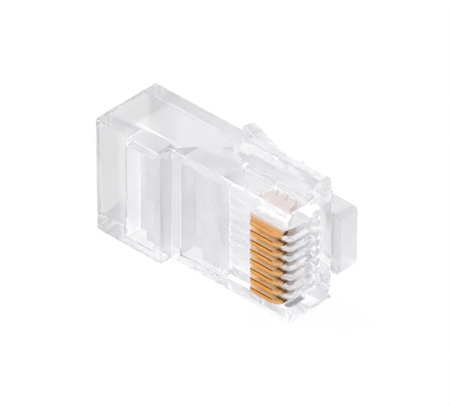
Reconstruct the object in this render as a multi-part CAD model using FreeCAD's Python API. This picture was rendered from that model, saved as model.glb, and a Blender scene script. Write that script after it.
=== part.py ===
import FreeCAD, Part
import math
import os

# Eight-way modular plug, as supplied and not yet crimped, standing on one of its sides.
# Millimetres. X runs along the plug, +X towards the nose. Y runs through its thickness, +Y towards the latch.
# Z runs across its width, +Z up. The origin is the middle of the side face that the plug stands on: half way
# along the body, and half way between the contact face and the latch face of the nose.

# Body, outside
body_width = 11.68
body_length = 22.3
nose_thickness = 6.5
shoulder_from_nose = 14.2
shoulder_step = 1.35
nose_chamfer = 1.25
nose_round = 0.45
rear_round = 0.5
edge_round = 0.12

# Cable cavity: a mouth for the jacket, a sloping end wall and a flat slot for the conductors
mouth_width = 10.0
mouth_roof = 0.85
mouth_floor = 5.65
mouth_flare_length = 3.0
mouth_flare_depth = 0.45
mouth_corner_round = 0.6
funnel_start = 14.4
funnel_end = 12.05
funnel_tip_from_nose = 10.85
funnel_tip_depth = 4.4
funnel_floor_start = 12.3
slot_start = 13.0
slot_corner_round = 0.3

# Conductors and contacts
way_count = 8
pitch = 1.02
channel_radius = 0.55
channel_depth = 3.75
channel_mouth = 9.4
channel_end = 1.2
contact_thickness = 0.33
contact_side_clearance = 0.035
contact_proud = 0.95
contact_front = 0.5
contact_back = 4.6
contact_back_bevel = 0.8
contact_nose_length = 0.7
contact_nose_drop = 0.38
contact_back_round = 0.15
contact_nose_round = 0.25
contact_heel_depth = 1.35
contact_web_depth = 2.2
tine_count = 3
tine_front = 1.55
tine_tip_depth = 3.0
tine_gap = 0.16
tine_tip_flat = 0.12
contact_slot_end_clearance = 0.15
contact_slot_depth = 3.35
tine_pocket_depth = 4.5
tine_pocket_clearance = 0.15

# Small reliefs beside the outer slots, in the end walls of the nose
end_relief_wall = 1.72
end_relief_length = 0.6
end_relief_depth = 2.0

# Jacket bar window, in the raised back part of the contact side
jacket_window_back = 18.5
jacket_window_front = 15.15
jacket_window_width = 9.8
jacket_web_length = 0.85
jacket_head_outer = -0.5
jacket_head_length = 1.35
jacket_tip_depth = 1.36
jacket_tip_back = 0.45

# Conductor bar window, in the contact side between the shoulder and the contacts
conductor_window_back = 13.05
conductor_window_front = 8.45
conductor_window_width = 9.8
conductor_web_length = 0.95
conductor_head_outer = 0.8
conductor_head_length = 2.5
conductor_tip_depth = 3.05
conductor_tip_back = 0.75
window_rim_bevel = 0.12

# Clearances of the bars in their windows
bar_side_clearance = 0.06
bar_hinge_gap = 0.02
bar_front_clearance = 0.2
bar_head_setback = 0.25
bar_web_thickness = 0.4
bar_heel_share = 0.67
bar_edge_round = 0.12

# Latch root, a block on the nose
latch_width = 6.3
root_front = 0.9
root_back = 2.4
root_inner = 5.44
root_outer = 8.0
root_outer_round = 0.6
root_side_round = 0.6

# Latch arm, flexing at the root
latch_gap = 0.02
latch_thickness = 1.3
latch_straight = 0.7
latch_slope = 19.3
latch_tip_from_nose = 16.2
latch_shoulder_from_nose = 7.8
latch_shoulder_bevel = 0.35
thumb_width = 3.25
latch_tip_round = 0.15

# Recess in the latch side, under the latch arm
recess_floor = 4.95
recess_width = 7.1
recess_end = 10.7
recess_ramp = 1.1

# Places that follow from the sizes above
NOSE_X = body_length / 2
BACK_X = -body_length / 2
CONTACT_Y = -nose_thickness / 2
MID_Z = body_width / 2
OVERRUN = 1.0


def at(from_nose, depth):
    """A point of the side view: its distance back from the nose, and its depth in from the contact face."""
    return FreeCAD.Vector(NOSE_X - from_nose, CONTACT_Y + depth, 0)


def wire_of(points):
    """A closed outline of straight runs."""
    return Part.makePolygon(points + [points[0]])


def rounded_prism(points, radii, low_z, high_z):
    """An outline carried across the width, with the upright edge at each point rounded by its radius."""
    prism = Part.Face(wire_of(points)).extrude(FreeCAD.Vector(0, 0, high_z - low_z))
    prism.translate(FreeCAD.Vector(0, 0, low_z))
    for radius in sorted(set(radii)):
        if radius <= 0:
            continue
        chosen = [p for p, r in zip(points, radii) if r == radius]
        prism = prism.makeFillet(radius, [e for e in prism.Edges if upright_at(e, chosen)])
    return prism


def upright_at(edge, points):
    """True for an edge along Z that stands on one of the points."""
    ends = [v.Point for v in edge.Vertexes]
    if len(ends) != 2 or abs(ends[0].z - ends[1].z) < 1e-6:
        return False
    return any(abs(ends[0].x - p.x) + abs(ends[0].y - p.y) < 1e-6
               and abs(ends[1].x - p.x) + abs(ends[1].y - p.y) < 1e-6 for p in points)


def across(width):
    """The lowest and highest Z of something centred on the width."""
    return MID_Z - width / 2, MID_Z + width / 2


def way_centres():
    """The heights of the ways, evenly spaced about the middle of the width."""
    return [MID_Z + (i - (way_count - 1) / 2) * pitch for i in range(way_count)]


def rounded_section(x, low_y, high_y, width, radius):
    """A rectangle with rounded corners, square to X."""
    low_z, high_z = across(width)
    corners = [(low_y, low_z), (high_y, low_z), (high_y, high_z), (low_y, high_z)]
    signs = [(1, 1), (-1, 1), (-1, -1), (1, -1)]
    edges = []
    starts = []
    ends = []
    mids = []
    for i, ((y, z), (sy, sz)) in enumerate(zip(corners, signs)):
        along_y = (y + sy * radius, z)
        along_z = (y, z + sz * radius)
        slack = radius * (1 - 0.5 ** 0.5)
        mids.append((y + sy * slack, z + sz * slack))
        starts.append(along_z if i % 2 == 0 else along_y)
        ends.append(along_y if i % 2 == 0 else along_z)
    for i in range(4):
        a, m, b = [FreeCAD.Vector(x, *p) for p in (starts[i], mids[i], ends[i])]
        edges.append(Part.Arc(a, m, b).toShape())
        edges.append(Part.LineSegment(b, FreeCAD.Vector(x, *starts[(i + 1) % 4])).toShape())
    return Part.Wire(edges)


def slot_roof():
    return channel_depth - channel_radius


def slot_floor():
    return channel_depth + channel_radius


def slot_width():
    """The conductors' flat slot is as wide as the row of channels."""
    return (way_count - 1) * pitch + 2 * channel_radius


def funnel_roof_at(from_nose):
    """Depth of the funnel's sloping roof below the contact face."""
    share = (funnel_start - from_nose) / (funnel_start - funnel_end)
    return mouth_roof + share * (slot_roof() - mouth_roof)


def body_blank():
    """The stepped outside of the moulding, with its edges eased."""
    points = [
        at(0, 0),
        at(0, nose_thickness - nose_chamfer),
        at(nose_chamfer, nose_thickness),
        at(body_length, nose_thickness),
        at(body_length, -shoulder_step),
        at(shoulder_from_nose, -shoulder_step),
        at(shoulder_from_nose, 0),
    ]
    radii = [nose_round, 0, 0, 0, rear_round, 0, 0]
    blank = rounded_prism(points, radii, 0, body_width)
    rims = [e for e in blank.Edges if abs(e.BoundBox.ZLength) < 1e-6]
    return blank.makeFillet(edge_round, rims)


def cable_cavity():
    """The jacket's room, open at the back and flared there, with its long corners rounded."""
    flare = mouth_flare_depth * (mouth_flare_length + OVERRUN) / mouth_flare_length
    points = [
        at(body_length + OVERRUN, mouth_roof - flare),
        at(body_length - mouth_flare_length, mouth_roof),
        at(funnel_start, mouth_roof),
        at(funnel_tip_from_nose, funnel_tip_depth),
        at(funnel_floor_start, mouth_floor),
        at(body_length + OVERRUN, mouth_floor),
    ]
    room = rounded_prism(points, [0] * len(points), *across(mouth_width))
    reach = points[2].x
    corners = [e for e in room.Edges if e.BoundBox.ZLength < 1e-6 and e.BoundBox.XMax < reach + 2.2
               and e.BoundBox.XLength > e.BoundBox.YLength * 3]
    return room.makeFillet(mouth_corner_round, corners)


def conductor_slot():
    """The flat slot that leads from the cavity to the channels."""
    ends = [rounded_section(NOSE_X - x, CONTACT_Y + slot_roof(), CONTACT_Y + slot_floor(), slot_width(),
                            slot_corner_round) for x in (slot_start, channel_mouth)]
    return Part.makeLoft(ends, True, True)


def conductor_channels():
    """A row of round channels that just run into each other, which leaves a ridge between neighbours."""
    length = channel_mouth - channel_end + OVERRUN
    start = at(channel_mouth + OVERRUN, channel_depth)
    tools = [Part.makeCylinder(channel_radius, length, FreeCAD.Vector(start.x, start.y, z),
                               FreeCAD.Vector(1, 0, 0)) for z in way_centres()]
    return tools[0].multiFuse(tools[1:])


def contact_slots():
    """One slot for each contact, open on the contact face and on the nose, and deeper where the tines are."""
    half = contact_thickness / 2 + contact_side_clearance
    back = contact_back + contact_slot_end_clearance
    step = tine_front - tine_pocket_clearance
    outline = [at(-OVERRUN, -OVERRUN), at(-OVERRUN, contact_slot_depth), at(step, contact_slot_depth),
               at(step, tine_pocket_depth), at(back, tine_pocket_depth), at(back, -OVERRUN)]
    tools = [rounded_prism(outline, [0] * len(outline), z - half, z + half) for z in way_centres()]
    return Part.makeCompound(tools)


def end_reliefs():
    """Shallow steps that widen the two outer slots at the nose."""
    outline = [at(-OVERRUN, -OVERRUN), at(-OVERRUN, end_relief_depth),
               at(end_relief_length, end_relief_depth), at(end_relief_length, -OVERRUN)]
    ways = way_centres()
    low = rounded_prism(outline, [0, 0, 0, 0], end_relief_wall, ways[0])
    high = rounded_prism(outline, [0, 0, 0, 0], ways[-1], body_width - end_relief_wall)
    return Part.makeCompound([low, high])


def window(back, front, face, inner, width):
    """An opening from a face inwards, with its rim bevelled."""
    outline = [at(back, face - OVERRUN), at(front, face - OVERRUN), at(front, inner), at(back, inner)]
    opening = rounded_prism(outline, [0, 0, 0, 0], *across(width))
    rim = []
    for grow, depth in ((window_rim_bevel, face), (0, face + window_rim_bevel)):
        low, high = across(width + 2 * grow)
        near = at(front - grow, depth)
        far = at(back + grow, depth)
        rim.append(wire_of([FreeCAD.Vector(far.x, far.y, low), FreeCAD.Vector(near.x, near.y, low),
                            FreeCAD.Vector(near.x, near.y, high), FreeCAD.Vector(far.x, far.y, high)]))
    return opening.fuse(Part.makeLoft(rim, True, True))


def jacket_window():
    """The opening over the jacket bar, from the raised face into the cavity."""
    return window(jacket_window_back, jacket_window_front, -shoulder_step, (mouth_roof + mouth_floor) / 2,
                  jacket_window_width)


def conductor_window():
    """The opening over the conductor bar, from the contact face to the conductors' slot."""
    return window(conductor_window_back, conductor_window_front, 0, channel_depth, conductor_window_width)


def latch_recess():
    """The recess that the latch arm is pressed into, with a ramp at its back end."""
    outer = nose_thickness + OVERRUN
    ramp_run = recess_ramp * (outer - recess_floor) / (nose_thickness - recess_floor)
    outline = [at(root_back, recess_floor), at(root_back, outer),
               at(recess_end + ramp_run, outer), at(recess_end, recess_floor)]
    return rounded_prism(outline, [0, 0, 0, 0], *across(recess_width))


def latch_root():
    """The block on the nose that the latch arm grows from, with its front edges rounded."""
    points = [at(-root_front, root_inner), at(-root_front, root_outer),
              at(root_back, root_outer), at(root_back, recess_floor), at(root_back / 2, recess_floor),
              at(root_back / 2, root_inner)]
    block = rounded_prism(points, [0, root_outer_round, 0, 0, 0, 0], *across(latch_width))
    front_x = at(-root_front, 0).x
    sides = [e for e in block.Edges
             if abs(e.BoundBox.XMax - front_x) < 1e-6 and e.BoundBox.XLength < 1e-6
             and e.BoundBox.ZLength < 1e-6]
    return block.makeFillet(root_side_round, sides)


def make_housing():
    """The clear moulding: everything of it that doesn't bend."""
    housing = body_blank().cut(latch_recess()).fuse(latch_root())
    for tool in (cable_cavity(), conductor_slot(), conductor_channels(), contact_slots(), end_reliefs(),
                 jacket_window(), conductor_window()):
        housing = housing.cut(tool)
    return housing.removeSplitter()


def window_bar(window_back, window_front, window_width, web_inner, web_length, head_outer, head_length,
               tip_depth, tip_back):
    """A bar that hangs in its window on a web at the back, with an edge that points into the cavity."""
    hinge = window_back - bar_hinge_gap
    front = window_front + bar_front_clearance
    web_outer = web_inner - bar_web_thickness
    web_end = hinge - web_length
    heel_depth = head_outer + bar_heel_share * (tip_depth - head_outer)
    points = [
        at(hinge, web_outer),
        at(web_end, web_outer),
        at(front + head_length, head_outer),
        at(front + bar_head_setback, head_outer),
        at(front, heel_depth),
        at(front + tip_back, tip_depth),
        at(web_end, web_inner),
        at(hinge, web_inner),
    ]
    radii = [0, 0] + [bar_edge_round] * 4 + [0, 0]
    return rounded_prism(points, radii, *across(window_width - 2 * bar_side_clearance))


def make_jacket_bar():
    """The bar that clamps the cable's jacket, level with the roof of the mouth."""
    return window_bar(jacket_window_back, jacket_window_front, jacket_window_width, mouth_roof,
                      jacket_web_length, jacket_head_outer, jacket_head_length,
                      jacket_tip_depth, jacket_tip_back)


def make_conductor_bar():
    """The bar that clamps the conductors, level with the roof of the funnel."""
    return window_bar(conductor_window_back, conductor_window_front, conductor_window_width,
                      funnel_roof_at(conductor_window_back), conductor_web_length, conductor_head_outer,
                      conductor_head_length, conductor_tip_depth, conductor_tip_back)


def latch_side_view():
    """The latch arm from the side: a short straight from the root, then a steady slope to the tip."""
    slope = math.radians(latch_slope)
    start = root_back + latch_gap
    bend = start + latch_straight
    tip_outer = root_outer + (latch_tip_from_nose - bend) * math.tan(slope)
    return [
        at(start, root_outer),
        at(bend, root_outer),
        at(latch_tip_from_nose, tip_outer),
        at(latch_tip_from_nose, tip_outer - latch_thickness / math.cos(slope)),
        at(bend + latch_thickness * math.tan(slope / 2), root_outer - latch_thickness),
        at(start, root_outer - latch_thickness),
    ]


def make_latch():
    """The latch arm: its side view and its plan, each carried through the other."""
    points = latch_side_view()
    side = rounded_prism(points, [0, 0, latch_tip_round, latch_tip_round, 0, 0], *across(latch_width))
    wide = latch_width / 2
    narrow = thumb_width / 2
    shoulder = NOSE_X - latch_shoulder_from_nose
    start = NOSE_X - root_back
    tip = NOSE_X - latch_tip_from_nose - OVERRUN
    bevel = latch_shoulder_bevel
    half = [
        (start, wide),
        (shoulder + bevel, wide),
        (shoulder, wide - bevel),
        (shoulder, narrow),
        (tip, narrow),
    ]
    outline = [FreeCAD.Vector(x, CONTACT_Y, MID_Z + z) for x, z in half]
    outline += [FreeCAD.Vector(x, CONTACT_Y, MID_Z - z) for x, z in reversed(half)]
    reach = max(p.y for p in points) - CONTACT_Y + OVERRUN
    plan = Part.Face(wire_of(outline)).extrude(FreeCAD.Vector(0, reach, 0))
    return side.common(plan).removeSplitter()


def contact_outline():
    """A contact blade from the side: the outer edge that meets the socket, and the tines for the wires."""
    outer = -contact_proud
    points = [
        at(contact_back, 0),
        at(contact_back - contact_back_bevel, outer),
        at(contact_front + contact_nose_length, outer),
        at(contact_front, outer + contact_nose_drop),
        at(contact_front, contact_heel_depth),
        at(tine_front - tine_pocket_clearance, contact_heel_depth),
    ]
    tine = (contact_back - tine_front - (tine_count - 1) * tine_gap) / tine_count
    for i in range(tine_count):
        near = tine_front + i * (tine + tine_gap)
        points += [
            at(near, contact_web_depth),
            at(near + (tine - tine_tip_flat) / 2, tine_tip_depth),
            at(near + (tine + tine_tip_flat) / 2, tine_tip_depth),
            at(near + tine, contact_web_depth),
        ]
    return points


def make_contact(z):
    """One blade, centred on its way."""
    points = contact_outline()
    radii = [0, contact_back_round, contact_back_round, contact_nose_round] + [0] * (len(points) - 4)
    return rounded_prism(points, radii, z - contact_thickness / 2, z + contact_thickness / 2)


nodes = {
    "housing": make_housing(),
    "latch": make_latch(),
    "jacket_bar": make_jacket_bar(),
    "conductor_bar": make_conductor_bar(),
}
for number, height in enumerate(way_centres(), start=1):
    nodes["contact_%d" % number] = make_contact(height)

os.makedirs("parts", exist_ok=True)
for name, shape in nodes.items():
    shape.exportStep("parts/%s.step" % name)
    print(name, len(shape.Solids), shape.isValid(), round(shape.Volume, 3))
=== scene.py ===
import math

import bmesh
import bpy
import numpy as np
from bpy.props import FloatProperty, FloatVectorProperty, PointerProperty
from mathutils import Matrix, Vector


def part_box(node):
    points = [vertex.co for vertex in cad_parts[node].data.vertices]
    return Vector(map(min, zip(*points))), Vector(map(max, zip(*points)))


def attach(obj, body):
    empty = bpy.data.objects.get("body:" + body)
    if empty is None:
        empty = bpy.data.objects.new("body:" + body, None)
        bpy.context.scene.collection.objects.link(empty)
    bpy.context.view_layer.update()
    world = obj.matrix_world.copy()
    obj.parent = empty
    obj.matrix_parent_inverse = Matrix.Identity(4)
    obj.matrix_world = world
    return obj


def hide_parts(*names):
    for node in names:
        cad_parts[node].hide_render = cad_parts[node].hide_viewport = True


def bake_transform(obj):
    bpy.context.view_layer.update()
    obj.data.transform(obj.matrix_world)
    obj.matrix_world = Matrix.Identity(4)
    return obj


bl_info = {
    "name": "Modular Plug",
    "version": (1, 0, 0),
    "blender": (4, 5, 0),
    "location": "View3D > Sidebar > Modular Plug",
    "description": "Dresses a packed clear modular plug: moulding, latch, crimp bars, blades and stage",
    "category": "Add Mesh",
}

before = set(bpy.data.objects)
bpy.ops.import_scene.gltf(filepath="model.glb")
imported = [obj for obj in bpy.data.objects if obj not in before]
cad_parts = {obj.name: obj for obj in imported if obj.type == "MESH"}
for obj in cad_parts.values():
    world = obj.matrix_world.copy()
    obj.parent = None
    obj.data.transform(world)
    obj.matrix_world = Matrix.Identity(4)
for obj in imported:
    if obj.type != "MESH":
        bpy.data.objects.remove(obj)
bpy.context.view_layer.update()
MM = 0.001
BLADE_COUNT = sum(name.startswith("contact_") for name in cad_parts)
BLADES = ["contact_%d" % (i + 1) for i in range(BLADE_COUNT)]
BARS = ["jacket_bar", "conductor_bar"]

# The body, as the frame gives it, and the planes that its outside lies on
BODY_LOW, BODY_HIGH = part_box("housing")
LATCH_LOW, LATCH_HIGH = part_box("latch")
MID_WIDTH = (BODY_LOW.z + BODY_HIGH.z) / 2
NOSE_X = 11.15 * MM
SHOULDER_X = -3.05 * MM
LATCH_FACE = 3.25 * MM
CONTACT_FACE = -3.25 * MM

# Places inside the body, along it (back and front) and through it (floor and level)
MOUTH_LENGTH = 3.4 * MM
JACKET_WINDOW_BACK = -7.35 * MM
JACKET_WINDOW_FLOOR = -2.4 * MM
CONDUCTOR_WINDOW_BACK = -1.9 * MM
CONDUCTOR_WINDOW_FLOOR = -1.4 * MM
FUNNEL_FRONT = 5.0 * MM
CHANNEL_BACK = 2.3 * MM
CHANNEL_FRONT = 10.1 * MM
CHANNEL_LEVEL = 0.5 * MM
CHANNEL_HALF = 0.6 * MM
COMB_BACK = 5.5 * MM
COMB_FLOOR = -0.6 * MM
TINES_BACK = 6.4 * MM
STEP_OFFSET = 4.12 * MM
STEP_BACK = 10.5 * MM
STEP_FLOOR = -1.2 * MM
ROOT_BACK = 8.7 * MM
ROOT_FLOOR = 2.25 * MM
RECESS_BACK = 0.4 * MM
RECESS_FLOOR = 1.6 * MM

# A blade from the side: heights from the contact face, and lengths back from the blade's front
BLADE_PROUD = 0.95 * MM
NOSE_DROP = 0.38 * MM
NOSE_LENGTH = 0.74 * MM
HEEL_DEPTH = 1.35 * MM
HEEL_LENGTH = 0.9 * MM
WEB_DEPTH = 2.2 * MM
TINE_SET_BACK = 1.05 * MM
TINE_GAP = 0.16 * MM
TINE_TIP = 0.06 * MM
TINES = 3

# Colours on a blade, in millimetres under its plated edge; the crease and the gap lines are painted shadow
PLATING_DEPTH = 0.09
CREASE_SHADOW_DEPTH = 0.13
GAP_SHADOW_DEPTH = 0.74
CUT_DEPTH = 1.02
TIN_DEPTH = 1.15

# How near counts as on the skin, how deep as under it, and over what widths the masks fade
SKIN = 0.02 * MM
UNDER_SKIN = 0.2 * MM
EDGE_WIDTH = 0.13 * MM
CRISP = 0.03 * MM
FINE = 0.05 * MM
SOFT = 0.1 * MM
WIDE = 0.2 * MM
WALL_FADE = 0.06 * MM
MOUTH_FADE = 0.5 * MM
FUNNEL_FADE = 1.5 * MM

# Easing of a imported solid: what is merged and joined, and between which turns an edge is rounded
MERGE_DISTANCE = 0.0002 * MM
FACET_DEGREES = 0.3
SHARP_DEGREES = 30
STEEP_DEGREES = 100

BLACK = (0, 0, 0, 1)
WHITE = (1, 1, 1, 1)


class ClearPlasticSettings(bpy.types.PropertyGroup):
    tint: FloatVectorProperty(
        name="Tint", description="Colour that light keeps on each pass through the plastic's skin",
        subtype="COLOR", size=3, default=(0.926, 0.922, 0.928), min=0, max=1)
    refraction: FloatProperty(
        name="Refraction", description="Index of refraction of the clear plastic",
        default=1.585, min=1.3, max=1.8)
    polish: FloatProperty(
        name="Roughness", description="Roughness of the moulded skin where it is smoothest",
        default=0.0, min=0, max=0.3)
    frost: FloatProperty(
        name="Frost", description="Roughness added inside the body, where the cores were less polished",
        default=0.16, min=0, max=0.5)
    pin_frost: FloatProperty(
        name="Pin frost", description="Roughness added where the fine core pins shaped the channels",
        default=0.6, min=0, max=1)
    pin_calm: FloatProperty(
        name="Pin calm", description="How far the channels' walls behind the contacts are shaded as flat",
        default=0.85, min=0, max=1)
    flow: FloatProperty(
        name="Flow lines", description="Height of the faint waves that the melt leaves",
        unit="LENGTH", default=0.000001, min=0, max=0.0001)
    veil: FloatProperty(
        name="Veil", description="Share of the light that the milky skin scatters",
        default=0.06, min=0, max=1)
    haze: FloatProperty(
        name="Haze", description="Share added to the veil on the less polished surfaces inside",
        default=0.25, min=0, max=1)
    # Painted highlight: this share whitens the scatter along the eased outer edges, so they draw as bright
    # lines.
    edge_highlight_veil: FloatProperty(
        name="Edge veil", description="Share added to the veil along the eased outer edges",
        default=0.35, min=0, max=1)
    ease: FloatProperty(
        name="Ease", description="Rounding of the moulding's sharp edges",
        unit="LENGTH", default=0.00004, min=0.00001, max=0.0001)
    # Painted light: this share whitens the scatter on the jacket window's back wall, so that wall draws
    # bright.
    window_brightening: FloatProperty(
        name="Window veil", description="Share added to the veil on the back wall of the jacket bar's window",
        default=0.33, min=0, max=1)
    # Painted shade: darkens the tint on the conductor window's back wall.
    window_shade: FloatProperty(
        name="Window shade", description="How much greyer the back wall of the conductor bar's window is",
        default=0.15, min=0, max=1)
    arm_veil: FloatProperty(
        name="Arm veil", description="Share added to the veil on the thin latch arm",
        default=0.17, min=0, max=1)
    root_frost: FloatProperty(
        name="Root frost", description="Roughness added on the block that the latch grows from",
        default=0.2, min=0, max=0.5)
    root_veil: FloatProperty(
        name="Root veil", description="Share added to the veil on that block",
        default=0.3, min=0, max=1)
    # Painted shade: darkens the tint on the latch root's underside ahead of the nose.
    root_shade: FloatProperty(
        name="Root shade", description="How much greyer that block's underside is, ahead of the nose",
        default=0.28, min=0, max=1)
    # Painted shade: darkens the tint on the steps beside the outer contacts.
    relief_shade: FloatProperty(
        name="Relief shade", description="How much greyer the steps beside the outer contacts are",
        default=0.85, min=0, max=1)
    # Painted shade: darkens the tint round the cable mouth.
    rear_shade: FloatProperty(
        name="Rear shade", description="How much greyer the plastic is round the cable mouth",
        default=0.2, min=0, max=1)
    milk: FloatVectorProperty(
        name="Milk", description="Colour of the light that the skin scatters",
        subtype="COLOR", size=3, default=(0.74, 0.735, 0.75), min=0, max=1)


class ContactSettings(bpy.types.PropertyGroup):
    gold: FloatVectorProperty(
        name="Gold", description="Colour of the plated outer edge",
        subtype="COLOR", size=3, default=(0.80, 0.37, 0.095), min=0, max=1)
    flank: FloatVectorProperty(
        name="Flank", description="Colour of the stamped flanks",
        subtype="COLOR", size=3, default=(1.0, 0.74, 0.44), min=0, max=1)
    # Painted shade: a darker copy of the flank colour, for flanks that lie open to the light.
    end_flank_shaded: FloatVectorProperty(
        name="End flank", description="Colour of the row's last flank, which lies open",
        subtype="COLOR", size=3, default=(0.56, 0.30, 0.12), min=0, max=1)
    # Painted shadow: the dark line where the plated edge meets the flank.
    crease_shadow: FloatVectorProperty(
        name="Crease", description="Colour of the dark crease where the plating stops",
        subtype="COLOR", size=3, default=(0.18, 0.048, 0.002), min=0, max=1)
    # Dark unplated metal; also the painted shadow of the gap line and the painted dark reflection on the cut
    # front.
    bare_and_shadow: FloatVectorProperty(
        name="Bare metal", description="Colour of the blade's cut front",
        subtype="COLOR", size=3, default=(0.09, 0.05, 0.028), min=0, max=1)
    tin: FloatVectorProperty(
        name="Tin", description="Colour of the pale part that stays inside the body",
        subtype="COLOR", size=3, default=(0.54, 0.465, 0.43), min=0, max=1)
    rim: FloatProperty(
        name="Rim", description="Rounding of the stamped edges",
        unit="LENGTH", default=0.00004, min=0.00001, max=0.0001)
    outer_length: FloatProperty(
        name="Plated edge", description="Length of the flat outer edge",
        unit="LENGTH", default=0.0026, min=0.001, max=0.004)
    back_bevel: FloatProperty(
        name="Back bevel", description="How far the outer edge is set in from the back of the blade",
        unit="LENGTH", default=0.0008, min=0, max=0.002)


class LatchSettings(bpy.types.PropertyGroup):
    thickness: FloatProperty(
        name="Thickness", description="Thickness of the latch arm",
        unit="LENGTH", default=0.0013, min=0.0005, max=0.002)
    straight: FloatProperty(
        name="Straight", description="Length of the arm before it bends up",
        unit="LENGTH", default=0.0007, min=0, max=0.003)
    slope: FloatProperty(
        name="Slope", description="How steeply the arm stands off the body",
        subtype="ANGLE", default=math.radians(19.3), min=0, max=0.8)
    shoulder: FloatProperty(
        name="Shoulder", description="From the root to the locking shoulders",
        unit="LENGTH", default=0.00538, min=0.002, max=0.01)
    thumb_width: FloatProperty(
        name="Thumb width", description="Width of the thumb part",
        unit="LENGTH", default=0.00325, min=0.001, max=0.006)
    rounding: FloatProperty(
        name="Rounding", description="Rounding of the arm's long edges",
        unit="LENGTH", default=0.0001, min=0.00002, max=0.0005)
    flex_length: FloatProperty(
        name="Flex length", description="Length of the arm that bends when it is pressed",
        unit="LENGTH", default=0.0018, min=0.0005, max=0.005)


class StageSettings(bpy.types.PropertyGroup):
    azimuth: FloatProperty(
        name="Azimuth", description="Camera's angle round the plug",
        subtype="ANGLE", default=math.radians(43.61))
    elevation: FloatProperty(
        name="Elevation", description="Camera's angle above the floor",
        subtype="ANGLE", default=math.radians(35.40))
    distance: FloatProperty(
        name="Distance", description="From the plug's middle to the camera",
        unit="LENGTH", default=0.625)
    lens: FloatProperty(
        name="Lens", description="Focal length in millimetres",
        default=571.8)
    shift: FloatProperty(
        name="Shift", description="Sideways shift of the picture",
        default=0.004)
    key_power: FloatProperty(
        name="Key power", description="Power of the large soft light",
        unit="POWER", default=0.7)
    room_tone: FloatProperty(
        name="Room tone", description="Brightness of the studio as the plastic sees it",
        default=0.86, min=0, max=1)


class Value:
    """A socket in a node tree that Python's arithmetic extends with Math nodes."""

    def __init__(self, tree, socket):
        self.tree = tree
        self.socket = socket

    def _math(self, operation, first, second=None):
        node = self.tree.nodes.new("ShaderNodeMath")
        node.operation = operation
        feeds = [first] if second is None else [first, second]
        for slot, feed in zip(node.inputs, feeds):
            link(self.tree, feed, slot)
        return Value(self.tree, node.outputs[0])

    def __add__(self, other):
        return self._math("ADD", self, other)

    def __radd__(self, other):
        return self._math("ADD", other, self)

    def __sub__(self, other):
        return self._math("SUBTRACT", self, other)

    def __rsub__(self, other):
        return self._math("SUBTRACT", other, self)

    def __mul__(self, other):
        return self._math("MULTIPLY", self, other)

    def __rmul__(self, other):
        return self._math("MULTIPLY", other, self)

    def __truediv__(self, other):
        return self._math("DIVIDE", self, other)

    def __gt__(self, other):
        return self._math("GREATER_THAN", self, other)

    def clamp(self):
        """The value kept between 0 and 1."""
        return self._math("MINIMUM", self._math("MAXIMUM", self, 0.0), 1.0)

    def least(self, other):
        """The smaller of two values."""
        return self._math("MINIMUM", self, other)

    def size(self):
        """The value without its sign."""
        return self._math("ABSOLUTE", self)


def link(tree, feed, socket):
    """Feeds a socket from a Value, another socket, or a plain number or colour."""
    if isinstance(feed, Value):
        tree.links.new(feed.socket, socket)
    elif isinstance(feed, bpy.types.NodeSocket):
        tree.links.new(feed, socket)
    else:
        socket.default_value = feed


class Shader:
    """A material's or world's node tree, emptied and ready to be built."""

    def __init__(self, owner):
        owner.use_nodes = True
        self.tree = owner.node_tree
        self.tree.nodes.clear()

    def node(self, kind, settings=None, **feeds):
        """Adds a node, sets its settings first, then feeds its sockets, by name or by number as _0, _1."""
        node = self.tree.nodes.new(kind)
        for name, value in (settings or {}).items():
            if name == "stops":
                set_stops(node.color_ramp, value)
            else:
                setattr(node, name, value)
        for name, feed in feeds.items():
            key = int(name[1:]) if name[0] == "_" else name.replace("_", " ")
            link(self.tree, feed, node.inputs[key])
        return node

    def value(self, kind, output=0, settings=None, **feeds):
        """The same, but gives one output as a Value."""
        return Value(self.tree, self.node(kind, settings, **feeds).outputs[output])

    def noise(self, place, scale, detail, roughness):
        """A grey pattern between 0 and 1."""
        return self.value("ShaderNodeTexNoise", settings={"noise_dimensions": "3D"}, Vector=place,
                          Scale=scale, Detail=detail, Roughness=roughness)

    def blend(self, factor, first, second):
        """A colour between two colours."""
        node = self.tree.nodes.new("ShaderNodeMix")
        node.data_type = "RGBA"
        link(self.tree, factor, node.inputs[0])
        link(self.tree, first, node.inputs[6])
        link(self.tree, second, node.inputs[7])
        return node.outputs[2]


def set_stops(ramp, stops):
    """Sets a colour ramp's stops from pairs of place and grey value."""
    while len(ramp.elements) > 1:
        ramp.elements.remove(ramp.elements[0])
    for i, (place, grey) in enumerate(stops):
        element = ramp.elements[0] if i == 0 else ramp.elements.new(place)
        element.position = place
        element.color = (grey, grey, grey, 1)


def opaque(colour):
    """A colour with its alpha."""
    return (*colour, 1.0)


def parts_of(s, place):
    """The three parts of a place, each as a Value."""
    return [Value(s.tree, part) for part in s.node("ShaderNodeSeparateXYZ", Vector=place).outputs]


def past(value, edge, fade):
    """0 up to an edge and 1 beyond it: how far the value is past it, over the fade's width."""
    return ((value - edge) / fade).clamp()


def short_of(value, edge, fade):
    """0 from an edge on and 1 before it: how far the value is short of it, over the fade's width."""
    return ((edge - value) / fade).clamp()


def near(value, middle, peak, fade):
    """1 about a middle and 0 away from it: the peak less the distance over the fade's width."""
    return (peak - (value - middle).size() / fade).clamp()


def within(value, middle, reach, fade):
    """1 up to a reach either side of a middle, and 0 a fade's width beyond it."""
    return (1 - ((value - middle).size() - reach) / fade).clamp()


def wavering(pattern, amount):
    """A factor that a pattern between 0 and 1 moves about 1 by the amount."""
    return pattern * amount + (1 - amount / 2)


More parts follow.
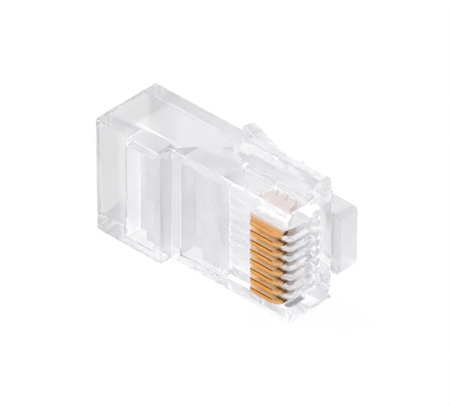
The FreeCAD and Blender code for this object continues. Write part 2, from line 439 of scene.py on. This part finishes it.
def outer_distances(x, y, z):
    """How far a point lies under each of the body's outer planes, for Values as for numbers."""
    face = CONTACT_FACE + (BODY_LOW.y - CONTACT_FACE) * (SHOULDER_X - x > 0)
    return [y - face, LATCH_FACE - y, NOSE_X - x, x - BODY_LOW.x, z - BODY_LOW.z, BODY_HIGH.z - z]


def inside_body(distances):
    """0 on the skin and 1 on the surfaces under it, by the least of the distances."""
    depth = distances[0]
    for distance in distances[1:]:
        depth = depth.least(distance)
    return past(depth, UNDER_SKIN, FINE)


def on_edges(distances):
    """1 along the edges between contact face, nose and upper side, where two distances are small together."""
    chosen = (distances[0], distances[2], distances[5])
    close = [short_of(distance.size(), EDGE_WIDTH, CRISP) for distance in chosen]
    return (sum(close[1:], close[0]) - 1).clamp()


def in_channels(x, y):
    """1 by the conductor channels, between the funnel and the nose, and 0 elsewhere."""
    along = past(x, CHANNEL_BACK, WIDE) * short_of(x, CHANNEL_FRONT, WIDE)
    return along * within(y, CHANNEL_LEVEL, CHANNEL_HALF, SOFT)


def behind_contacts(x):
    """1 behind the contacts' tines, and 0 by them."""
    return short_of(x, TINES_BACK, WIDE)


def squeezed_normal(s, amount):
    """The surface's own normal, its part across the width drawn in by the amount, at full length again."""
    normal = s.node("ShaderNodeNewGeometry").outputs["Normal"]
    scale = s.node("ShaderNodeCombineXYZ", X=1.0, Y=1.0, Z=1 - amount).outputs[0]
    scaled = s.node("ShaderNodeVectorMath", {"operation": "MULTIPLY"}, _0=normal, _1=scale).outputs[0]
    return s.node("ShaderNodeVectorMath", {"operation": "NORMALIZE"}, _0=scaled).outputs[0]


def on_reliefs(x, y, z):
    """1 on the two steps beside the outer contacts, which face along the width, back from the nose."""
    level = near((z - MID_WIDTH).size(), STEP_OFFSET, 1.5, CRISP)
    return level * past(x, STEP_BACK, FINE) * short_of(y, STEP_FLOOR, FINE)


def root_masks(x, y):
    """1 on the block that the latch grows from: first all but its underside ahead of the nose, then that."""
    ahead = past(x - NOSE_X, SKIN, FINE)
    beyond = past(y - LATCH_FACE, SKIN, FINE) * past(x, ROOT_BACK, FINE)
    under = ahead * short_of(y, ROOT_FLOOR, CRISP)
    return (ahead + beyond).clamp() * (1 - under), under


def near_wall(x, wall):
    """1 on a wall that stands across the plug."""
    return near(x, wall, 2, WALL_FADE)


def in_cavity(x):
    """1 by the jacket's room, the windows and the funnel, and 0 in the front, where the contacts sit."""
    return short_of(x, FUNNEL_FRONT, FUNNEL_FADE)


def clear_plastic(settings, name="clear_polycarbonate", arm=0.0):
    """Clear polycarbonate: polished outside, frosted inside by the mould's cores, with melt flow in its skin.

    The veil is the share of light that it scatters: more inside and on the latch's root and arm. On the outer
    edges it is raised and whitened as a painted highlight, and on the jacket bar's window as painted light.
    Painted shade darkens the tint round the cable mouth, on the conductor bar's window, on the steps beside
    the outer contacts and under the root, and the channels behind the contacts are painted lighter."""
    material = bpy.data.materials.new(name)
    s = Shader(material)
    place = s.node("ShaderNodeTexCoord").outputs["Object"]
    stretched = s.node("ShaderNodeMapping", _0=place, Scale=(180, 420, 420)).outputs[0]
    melt = s.noise(stretched, scale=1.0, detail=2.0, roughness=0.5)
    patches = s.noise(place, scale=260.0, detail=3.0, roughness=0.6)
    x, y, z = parts_of(s, place)
    distances = outer_distances(x, y, z)
    inside = inside_body(distances) * (1 - arm)
    channels = in_channels(x, y)
    calm = channels * behind_contacts(x)
    root, root_under = root_masks(x, y)
    # Painted highlight: the eased outer edges, whose scatter is raised and whitened below so they draw
    # bright.
    edges = on_edges(distances) * wavering(melt, 0.8)
    # Painted light: the jacket window's back wall, whose scatter is raised and whitened so it draws bright.
    brightened_wall = inside * near_wall(x, JACKET_WINDOW_BACK) * short_of(y, JACKET_WINDOW_FLOOR, SOFT)
    # Painted shade: the conductor window's back wall, darkened below.
    shaded_wall = inside * near_wall(x, CONDUCTOR_WINDOW_BACK) * short_of(y, CONDUCTOR_WINDOW_FLOOR, SOFT)
    rear = short_of(x, BODY_LOW.x + MOUTH_LENGTH, MOUTH_FADE)

    frost = inside * wavering(patches, 0.4) * settings.frost
    frost = frost + channels * (1 + 0.35 * calm) * settings.pin_frost
    frost = frost + (root + root_under) * settings.root_frost
    haze = inside * in_cavity(x) * (1 - channels)
    veil = wavering(patches, 0.3) * (settings.veil + arm * settings.arm_veil + haze * settings.haze)
    veil = veil + edges * settings.edge_highlight_veil
    veil = veil + brightened_wall * settings.window_brightening + root * settings.root_veil
    bump = s.node("ShaderNodeBump", Strength=1.0, Distance=settings.flow, Height=melt,
                  Normal=squeezed_normal(s, calm * settings.pin_calm))

    paler = [min(1.0, part * 1.012) for part in settings.tint]
    tint = s.blend(patches, opaque(settings.tint), opaque(paler))
    # Painted shade: the tint is darkened round the cable mouth, on the conductor window's wall, on the relief
    # steps and under the root.
    for darkening in (rear * settings.rear_shade, shaded_wall * settings.window_shade,
                      on_reliefs(x, y, z) * settings.relief_shade, root_under * settings.root_shade):
        tint = s.blend(darkening, tint, BLACK)
    # Painted light: behind the contacts the channels' walls lose their tint, so they draw lighter.
    tint = s.blend(calm, tint, WHITE)
    skin = s.node("ShaderNodeBsdfPrincipled", Base_Color=tint, Roughness=frost + settings.polish,
                  IOR=settings.refraction, Transmission_Weight=1.0, Normal=bump.outputs[0])

    # Whiter scatter: painted highlight on the eased edges, painted light on the jacket window's wall, milkier
    # root and arm.
    whiter_and_highlit = (edges + brightened_wall + 0.25 * root + 0.1 * arm).clamp()
    whiteness = s.blend(whiter_and_highlit, opaque(settings.milk), WHITE)
    scattered = s.node("ShaderNodeBsdfDiffuse", Color=whiteness)
    through = s.node("ShaderNodeBsdfTranslucent", Color=whiteness)
    milk = s.node("ShaderNodeMixShader", _0=0.5, _1=scattered.outputs[0], _2=through.outputs[0])
    hazy = s.node("ShaderNodeMixShader", _0=veil, _1=skin.outputs[0], _2=milk.outputs[0])
    shade = s.node("ShaderNodeBsdfTransparent", Color=(0.93, 0.93, 0.94, 1))
    shadow_ray = s.node("ShaderNodeLightPath").outputs["Is Shadow Ray"]
    mixed = s.node("ShaderNodeMixShader", _0=shadow_ray, _1=hazy.outputs[0], _2=shade.outputs[0])
    s.node("ShaderNodeOutputMaterial", Surface=mixed.outputs[0])
    return material


def latch_plastic(settings):
    """The same plastic for the latch arm, which keeps its look when it is pressed into the body's recess."""
    return clear_plastic(settings, "latch_polycarbonate", 1.0)


def contact_metal(settings):
    """Stamped bronze: gold on the outer edge that fades down the flanks, and dark unplated metal at the
    front, its darkness partly a painted reflection.

    Each colour lies at its own depth under the plated edge. The dark crease under the gold and the dark line
    below the next blade are painted shadow. The row's last flank and the flanks' fronts take a darker copy of
    the flank colour, painted shade against the light that reaches them."""
    material = bpy.data.materials.new("gold_over_bronze")
    s = Shader(material)
    place = s.node("ShaderNodeTexCoord").outputs["Object"]
    x, y, z = parts_of(s, place)
    low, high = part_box("contact_1")
    row_end = max(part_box(name)[1].z for name in BLADES)
    brushed = s.node("ShaderNodeMapping", _0=place, Scale=(900, 9000, 9000)).outputs[0]
    grain = s.noise(brushed, scale=1.0, detail=4.0, roughness=0.6)
    stain = s.noise(place, scale=900.0, detail=2.0, roughness=0.5)
    out = (y - low.y) / MM + (stain - 0.5) * 0.05
    plated = (1.1 - out / PLATING_DEPTH).clamp()
    behind_nose = short_of(x, high.x - NOSE_LENGTH, 0.04 * MM)
    last = z > row_end - SKIN
    # Painted shadow: a dark line just under the plated edge, where it meets the flank.
    crease_shadow = near(out, CREASE_SHADOW_DEPTH, 1.9, 0.06) * behind_nose * (1 - 0.6 * last)
    # Painted shadow: a dark line on the flank where the next blade's lower corner shades it.
    gap_shadow = near(out, GAP_SHADOW_DEPTH, 1.9, 0.07) * (1 - 0.7 * behind_nose) * (1 - last)
    buried = ((out - TIN_DEPTH + 0.55 * last) / 0.25).clamp()
    # The cut front: unplated metal, its darkness partly a painted reflection of dark surroundings.
    cut_front_and_reflection = past(x, high.x - 0.07 * MM, CRISP) * within(out, CUT_DEPTH, 0.22, 0.06)
    # Painted shade: the last flank and the flanks' fronts, open to the light, take the darker flank colour.
    open_to_light = (last + 0.6 * (1 - behind_nose)).clamp()

    flank = s.blend(open_to_light, opaque(settings.flank), opaque(settings.end_flank_shaded))
    washed = s.blend((stain * 3 - 1.3).clamp() * 0.6, flank, opaque(settings.gold))
    colour = s.blend(plated, washed, opaque(settings.gold))
    darker_gold = [part * 0.75 for part in settings.gold]
    worn = s.blend((grain - 0.35).clamp() * 0.5, colour, opaque(darker_gold))
    crease_shadowed = s.blend(crease_shadow, worn, opaque(settings.crease_shadow))
    gap_shadowed = s.blend(gap_shadow, crease_shadowed, opaque(settings.bare_and_shadow))
    tinned = s.blend(buried, gap_shadowed, opaque(settings.tin))
    finished = s.blend(cut_front_and_reflection, tinned, opaque(settings.bare_and_shadow))
    bump = s.node("ShaderNodeBump", Strength=0.35, Distance=0.000004, Height=grain)
    metal = s.node("ShaderNodeBsdfPrincipled", Base_Color=finished, Specular_IOR_Level=0.2,
                   Metallic=0.05 + 0.75 * plated,
                   Roughness=0.26 + 0.2 * grain + 0.2 * (1 - plated), Normal=bump.outputs[0])
    s.node("ShaderNodeOutputMaterial", Surface=metal.outputs[0])
    return material


def shared(name, make, settings):
    """The material of that name, made on first use."""
    return bpy.data.materials.get(name) or make(settings)


def new_piece(name, verts, faces, sharp_degrees=35.0):
    """A mesh object with its place in its vertices, smooth but for edges sharper than the angle."""
    mesh = bpy.data.meshes.new(name)
    mesh.from_pydata(verts.reshape(-1, 3).tolist(), [], faces)
    mesh.validate()
    mesh.shade_smooth()
    mesh.set_sharp_from_angle(angle=math.radians(sharp_degrees))
    piece = bpy.data.objects.new(name, mesh)
    bpy.context.scene.collection.objects.link(piece)
    return piece


def ring_faces(rings, around):
    """Quads between each ring of a grid and the next, closed round each ring, and a cap on both ends."""
    k, i = np.meshgrid(np.arange(rings - 1), np.arange(around), indexing="ij")
    j = (i + 1) % around
    quads = np.stack([k * around + i, k * around + j, (k + 1) * around + j, (k + 1) * around + i], axis=-1)
    first = list(range(around))[::-1]
    last = [(rings - 1) * around + n for n in range(around)]
    return quads.reshape(-1, 4).tolist() + [first, last]


def rounded_slab(points, radii, low, high, rim, steps=4):
    """An outline carried across the width, with its corners and both its rims rounded.

    Each corner is an arc about a centre set in by radius / sin(half angle). A ring at height z is the same
    arcs drawn in by rim - sqrt(rim^2 - t^2), where t is how far z lies into the rim. An outline runs
    anticlockwise."""
    p = np.asarray(points, float)
    r = np.maximum(np.asarray(radii, float), rim * 1.05)
    back = np.roll(p, 1, axis=0) - p
    on = np.roll(p, -1, axis=0) - p
    a = back / np.linalg.norm(back, axis=1, keepdims=True)
    b = on / np.linalg.norm(on, axis=1, keepdims=True)
    turn = b[:, 0] * a[:, 1] - b[:, 1] * a[:, 0]
    convex = np.where(turn > 0, 1.0, -1.0)
    half = np.arccos(np.clip((a * b).sum(1), -1, 1)) / 2
    reach = np.minimum(np.linalg.norm(back, axis=1), np.linalg.norm(on, axis=1)) * 0.49
    r = np.minimum(r, reach * np.tan(half))
    inward = a + b
    inward /= np.linalg.norm(inward, axis=1, keepdims=True)
    centre = p + inward * (r / np.sin(half))[:, None]
    start = p + a * (r / np.tan(half))[:, None] - centre
    end = p + b * (r / np.tan(half))[:, None] - centre
    sweep = np.pi - 2 * half
    t = np.linspace(0, 1, steps + 1)[None, :, None]
    sweep = sweep[:, None, None]
    arc = (np.sin((1 - t) * sweep) * start[:, None] + np.sin(t * sweep) * end[:, None]) / np.sin(sweep)
    lean = np.radians(np.linspace(0, 90, steps + 1))
    drawn_in = np.concatenate([rim * (1 - np.sin(lean)), rim * (1 - np.sin(lean[::-1]))])
    z = np.concatenate([low + rim * (1 - np.cos(lean)), high - rim * (1 - np.cos(lean[::-1]))])
    shrink = 1 - convex[None, :, None, None] * drawn_in[:, None, None, None] / r[None, :, None, None]
    rings = centre[None, :, None] + arc[None] * shrink
    rings = rings.reshape(len(z), -1, 2)
    verts = np.concatenate([rings, np.broadcast_to(z[:, None, None], (*rings.shape[:2], 1))], axis=2)
    return verts, ring_faces(len(z), rings.shape[1])


def is_outer(place):
    """Whether a place lies on the body's skin, beyond it, round the latch's recess or in the comb."""
    x, y, z = place
    by_latch = x > RECESS_BACK and y > RECESS_FLOOR
    in_comb = x > COMB_BACK and y < COMB_FLOOR
    return min(outer_distances(x, y, z)) < SKIN or by_latch or in_comb


def eased_copy(name, width):
    """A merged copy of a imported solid: its flat facets joined, its sharp outer edges rounded by the width.

    An edge is rounded where its faces turn by 30 to 100 degrees and both its ends are outer. Other edges
    over 30 degrees stay sharp. The normals are weighted by face area, so flat sides stay optically flat."""
    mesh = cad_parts[name].data.copy()
    for left_over in ("custom_normal", "sharp_edge", "sharp_face"):
        if left_over in mesh.attributes:
            mesh.attributes.remove(mesh.attributes[left_over])
    work = bmesh.new()
    work.from_mesh(mesh)
    bmesh.ops.remove_doubles(work, verts=work.verts, dist=MERGE_DISTANCE)
    bmesh.ops.dissolve_limit(work, angle_limit=math.radians(FACET_DEGREES),
                             verts=work.verts, edges=work.edges)
    weight = work.edges.layers.float.new("bevel_weight_edge")
    for edge in work.edges:
        turn = math.degrees(edge.calc_face_angle(0.0))
        outer = all(is_outer(vert.co) for vert in edge.verts)
        edge[weight] = float(outer and SHARP_DEGREES < turn < STEEP_DEGREES)
        edge.smooth = edge[weight] > 0 or turn < SHARP_DEGREES
    work.to_mesh(mesh)
    work.free()
    mesh.shade_smooth()
    piece = bpy.data.objects.new(name + "_eased", mesh)
    bpy.context.scene.collection.objects.link(piece)
    ease = piece.modifiers.new("ease", "BEVEL")
    ease.width = width
    ease.segments = 2
    ease.limit_method = "WEIGHT"
    ease.use_clamp_overlap = False
    ease.miter_outer = "MITER_ARC"
    normals = piece.modifiers.new("normals", "WEIGHTED_NORMAL")
    normals.mode = "FACE_AREA"
    normals.weight = 100
    normals.keep_sharp = True
    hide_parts(name)
    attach(piece, name)
    return piece


def finish_mouldings(names, settings):
    """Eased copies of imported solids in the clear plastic."""
    material = shared("clear_polycarbonate", clear_plastic, settings)
    for name in names:
        piece = eased_copy(name, settings.ease)
        piece.data.materials.clear()
        piece.data.materials.append(material)


class PLUG_OT_moulding(bpy.types.Operator):
    """Finish the clear moulded body"""
    bl_idname = "plug.moulding"
    bl_label = "Clear Moulding"

    def execute(self, context):
        finish_mouldings(["housing"], context.scene.plug_plastic)
        return {"FINISHED"}


class PLUG_OT_crimp_bars(bpy.types.Operator):
    """Finish the two crimp bars in their windows"""
    bl_idname = "plug.crimp_bars"
    bl_label = "Crimp Bars"

    def execute(self, context):
        finish_mouldings(BARS, context.scene.plug_plastic)
        return {"FINISHED"}


def latch_arm(settings):
    """The arm as rounded rectangular sections along its middle line.

    The middle line runs back from the root and rises by slope * softened ramp, and each section is square to
    it. A section's edge is (sign * (half width - rounding) + rounding * cos, sign * (half thickness -
    rounding) + rounding * sin). The half width steps in at the shoulders, and both shrink by a quarter circle
    at the tip."""
    rows = 40
    corner_steps = 5
    tip_steps = 8
    half_wide = (LATCH_HIGH.z - LATCH_LOW.z) / 2
    half_thumb = settings.thumb_width / 2
    half_thick = settings.thickness / 2
    length = LATCH_HIGH.x - LATCH_LOW.x
    bevel = 0.35 * MM
    tip_round = 0.15 * MM
    tip_start = length - tip_round
    rise = math.tan(settings.slope)
    soften = 0.18 * MM
    base = np.concatenate([
        np.linspace(0, settings.shoulder - bevel, rows),
        [settings.shoulder, settings.shoulder],
        np.linspace(settings.shoulder, tip_start, rows)[1:]])
    wide = np.concatenate([
        np.full(rows, half_wide),
        [half_wide - bevel, half_thumb],
        np.full(rows - 1, half_thumb)])
    turn = np.radians(np.linspace(0, 90, tip_steps + 1))[1:]
    run = np.concatenate([base, tip_start + tip_round * np.sin(turn)])
    shrink = tip_round * (1 - np.cos(turn))
    half_w = np.concatenate([wide, half_thumb - shrink * 0.9])
    half_t = np.concatenate([np.full(len(base), half_thick), half_thick - shrink * 0.85])
    ramp = soften * np.logaddexp(0, (run - settings.straight) / soften)
    height = LATCH_LOW.y + half_thick + rise * ramp
    lean = np.arctan(rise / (1 + np.exp(-(run - settings.straight) / soften)))
    quarters = [np.linspace(0, 90, corner_steps) + quarter * 90 for quarter in range(4)]
    angle = np.radians(np.concatenate(quarters))
    sign_z = np.repeat([1, -1, -1, 1], corner_steps)
    sign_n = np.repeat([1, 1, -1, -1], corner_steps)
    across = sign_z * (half_w[:, None] - settings.rounding) + settings.rounding * np.cos(angle)
    normal = sign_n * (half_t[:, None] - settings.rounding) + settings.rounding * np.sin(angle)
    x = LATCH_HIGH.x - run[:, None] + normal * np.sin(lean)[:, None]
    y = height[:, None] + normal * np.cos(lean)[:, None]
    verts = np.stack([x, y, MID_WIDTH + across], axis=-1)
    return verts, ring_faces(len(run), len(angle))


class PLUG_OT_latch(bpy.types.Operator):
    """Make the latch arm as it stands; the real arm bends at its root when it is pressed"""
    bl_idname = "plug.latch"
    bl_label = "Latch Arm"

    def execute(self, context):
        settings = context.scene.plug_latch
        verts, faces = latch_arm(settings)
        arm = new_piece("latch_arm", verts, faces, 30.0)
        arm.data.materials.append(shared("latch_polycarbonate", latch_plastic, context.scene.plug_plastic))
        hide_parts("latch")
        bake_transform(arm)
        return {"FINISHED"}


def blade_outline(low, high, settings):
    """A contact blade from the side, anticlockwise from the back: plated edge first, then heel and tines.

    The tines stand at equal steps behind the heel, each a trapezium that narrows to its tip."""
    front = high.x
    back = low.x
    outer = low.y
    face = outer + BLADE_PROUD
    web = face + WEB_DEPTH
    heel = face + HEEL_DEPTH
    bevel_end = back + settings.back_bevel
    points = [(back, face), (bevel_end, outer), (bevel_end + settings.outer_length, outer),
              (front, outer + NOSE_DROP), (front, heel), (front - HEEL_LENGTH, heel)]
    tine_front = front - TINE_SET_BACK
    tine = (tine_front - back - (TINES - 1) * TINE_GAP) / TINES
    for i in range(TINES):
        tine_start = tine_front - i * (tine + TINE_GAP)
        tip = tine_start - tine / 2
        points += [(tine_start, web), (tip + TINE_TIP, high.y), (tip - TINE_TIP, high.y),
                   (tine_start - tine, web)]
    outer_radii = [0.1 * MM, 0.15 * MM, 0.15 * MM, 0.25 * MM, 0.1 * MM]
    tine_radius = 0.03 * MM
    return points, outer_radii + [tine_radius] * (len(points) - len(outer_radii))


class PLUG_OT_contacts(bpy.types.Operator):
    """Make the row of stamped contact blades"""
    bl_idname = "plug.contacts"
    bl_label = "Contact Blades"

    def execute(self, context):
        settings = context.scene.plug_contacts
        material = shared("gold_over_bronze", contact_metal, settings)
        for name in BLADES:
            low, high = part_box(name)
            points, radii = blade_outline(low, high, settings)
            verts, faces = rounded_slab(points, radii, low.z, high.z, settings.rim)
            blade = new_piece(name + "_blade", verts, faces)
            blade.data.materials.append(material)
            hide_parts(name)
            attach(blade, name)
        return {"FINISHED"}


def make_floor():
    """A wide pale floor just under the plug, white to the camera but for a trace of shadow."""
    half = 1.5
    level = -0.02 * MM
    glow_share = 0.93
    corners = np.array([[-half, -half, level], [half, -half, level],
                        [half, half, level], [-half, half, level]])
    floor = new_piece("floor", corners, [[0, 1, 2, 3]])
    material = bpy.data.materials.new("white_floor")
    s = Shader(material)
    paths = s.node("ShaderNodeLightPath").outputs
    seen = (Value(s.tree, paths["Is Camera Ray"]) + Value(s.tree, paths["Is Glossy Ray"])
            + Value(s.tree, paths["Is Transmission Ray"])).clamp()
    paint = s.node("ShaderNodeBsdfDiffuse", Color=(0.92, 0.92, 0.92, 1))
    glow = s.node("ShaderNodeEmission", Color=WHITE, Strength=1.0)
    mixed = s.node("ShaderNodeMixShader", _0=seen * glow_share, _1=paint.outputs[0], _2=glow.outputs[0])
    s.node("ShaderNodeOutputMaterial", Surface=mixed.outputs[0])
    floor.data.materials.append(material)


def facing(s, direction, way):
    """How far a direction agrees with a way, as the product of the two: 1 along it and -1 against it."""
    return s.value("ShaderNodeVectorMath", output=1, settings={"operation": "DOT_PRODUCT"},
                   _0=direction, _1=way)


def make_room(scene, settings):
    """A white background for the camera, and for the plastic a pale studio to bend and mirror.

    Its tone changes with height and in soft bands, with a bright window and a dark corner opposite it."""
    world = bpy.data.worlds.new("studio")
    scene.world = world
    s = Shader(world)
    paths = s.node("ShaderNodeLightPath").outputs
    direction = s.node("ShaderNodeTexCoord").outputs["Generated"]
    height = parts_of(s, direction)[2]
    stops = [(0.0, 1.0), (0.08, 0.95), (0.3, settings.room_tone), (0.7, settings.room_tone * 0.94),
             (1.0, 0.98)]
    tone = s.node("ShaderNodeValToRGB", {"stops": stops}, Fac=height).outputs[0]
    bands = s.value("ShaderNodeTexWave", settings={"wave_type": "BANDS", "bands_direction": "X"},
                    Vector=direction, Scale=1.6, Distortion=0.0)
    uneven = s.blend(bands * 0.15, tone, (0.62, 0.625, 0.64, 1))
    window = past(facing(s, direction, (-0.562, 0.590, 0.579)), 0.8, 0.12)
    uneven = s.blend(window, uneven, (1.12, 1.12, 1.13, 1))
    corner = past(facing(s, direction, (0.562, -0.590, 0.579)), 0.6, 0.25)
    uneven = s.blend(corner, uneven, (0.25, 0.25, 0.26, 1))
    colour = s.blend(Value(s.tree, paths["Is Camera Ray"]), uneven, WHITE)
    ground = s.node("ShaderNodeBackground", Color=colour, Strength=1.0)
    s.node("ShaderNodeOutputWorld", Surface=ground.outputs[0])


def make_lights(settings):
    """Soft boxes where the eased edges mirror them to the camera, so that the edges draw bright."""
    distance = 0.42
    for name, way, size, share in (("key", (-0.56, -0.36, 0.75), 0.14, 1.0),
                                   ("rim", (0.3, 0.59, 0.75), 0.10, 0.4),
                                   ("fill", (0.56, -0.59, 0.58), 0.08, 0.55)):
        light = bpy.data.lights.new(name, "AREA")
        light.shape = "SQUARE"
        light.size = size
        light.energy = settings.key_power * share
        box = bpy.data.objects.new(name, light)
        bpy.context.scene.collection.objects.link(box)
        box.location = Vector(way).normalized() * distance
        box.rotation_euler = (-box.location).to_track_quat("-Z", "Y").to_euler()


def make_camera(scene, settings):
    """The camera at the photograph's angle, far off with a long lens."""
    data = bpy.data.cameras.new("camera")
    data.sensor_width = 36.0
    data.lens = settings.lens
    data.shift_x = settings.shift
    data.clip_start = 0.01
    data.clip_end = 10
    camera = bpy.data.objects.new("camera", data)
    scene.collection.objects.link(camera)
    turned = settings.azimuth
    raised = settings.elevation
    level = math.cos(raised)
    away = Vector((math.sin(turned) * level, -math.cos(turned) * level, math.sin(raised)))
    looked_at = Vector((0.15 * MM, 0, MID_WIDTH))
    right = Vector((math.cos(turned), math.sin(turned), 0))
    up = away.cross(right)
    turn = Matrix((right, up, away)).transposed().to_4x4()
    camera.matrix_world = Matrix.Translation(looked_at + away * settings.distance) @ turn
    scene.camera = camera


class PLUG_OT_stage(bpy.types.Operator):
    """Make the floor, the soft light and the camera"""
    bl_idname = "plug.stage"
    bl_label = "Stage"

    def execute(self, context):
        settings = context.scene.plug_stage
        make_floor()
        make_room(context.scene, settings)
        make_lights(settings)
        make_camera(context.scene, settings)
        return {"FINISHED"}


class PLUG_PT_panel(bpy.types.Panel):
    """Lists the operators and the settings"""
    bl_label = "Modular Plug"
    bl_idname = "PLUG_PT_panel"
    bl_space_type = "VIEW_3D"
    bl_region_type = "UI"
    bl_category = "Modular Plug"

    def draw(self, context):
        layout = self.layout
        for operator in OPERATORS:
            layout.operator(operator.bl_idname)
        for group_name, group in SETTINGS.items():
            for name in group.__annotations__:
                layout.prop(getattr(context.scene, group_name), name)


OPERATORS = (PLUG_OT_moulding, PLUG_OT_crimp_bars, PLUG_OT_latch, PLUG_OT_contacts, PLUG_OT_stage)
SETTINGS = {
    "plug_plastic": ClearPlasticSettings,
    "plug_latch": LatchSettings,
    "plug_contacts": ContactSettings,
    "plug_stage": StageSettings,
}
CLASSES = (*SETTINGS.values(), *OPERATORS, PLUG_PT_panel)


def register():
    for cls in CLASSES:
        bpy.utils.register_class(cls)
    for name, cls in SETTINGS.items():
        setattr(bpy.types.Scene, name, PointerProperty(type=cls))


def unregister():
    for name in SETTINGS:
        delattr(bpy.types.Scene, name)
    for cls in reversed(CLASSES):
        bpy.utils.unregister_class(cls)


def main():
    """Registers the classes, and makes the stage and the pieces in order."""
    register()
    scene = bpy.context.scene
    scene.view_settings.view_transform = "Standard"
    scene.cycles.max_bounces = 40
    scene.cycles.transmission_bounces = 40
    scene.cycles.glossy_bounces = 16
    scene.cycles.transparent_max_bounces = 40
    scene.cycles.caustics_reflective = True
    scene.cycles.caustics_refractive = True
    bpy.ops.plug.stage()
    bpy.ops.plug.moulding()
    bpy.ops.plug.crimp_bars()
    bpy.ops.plug.latch()
    bpy.ops.plug.contacts()


if __name__ == "__main__":
    main()
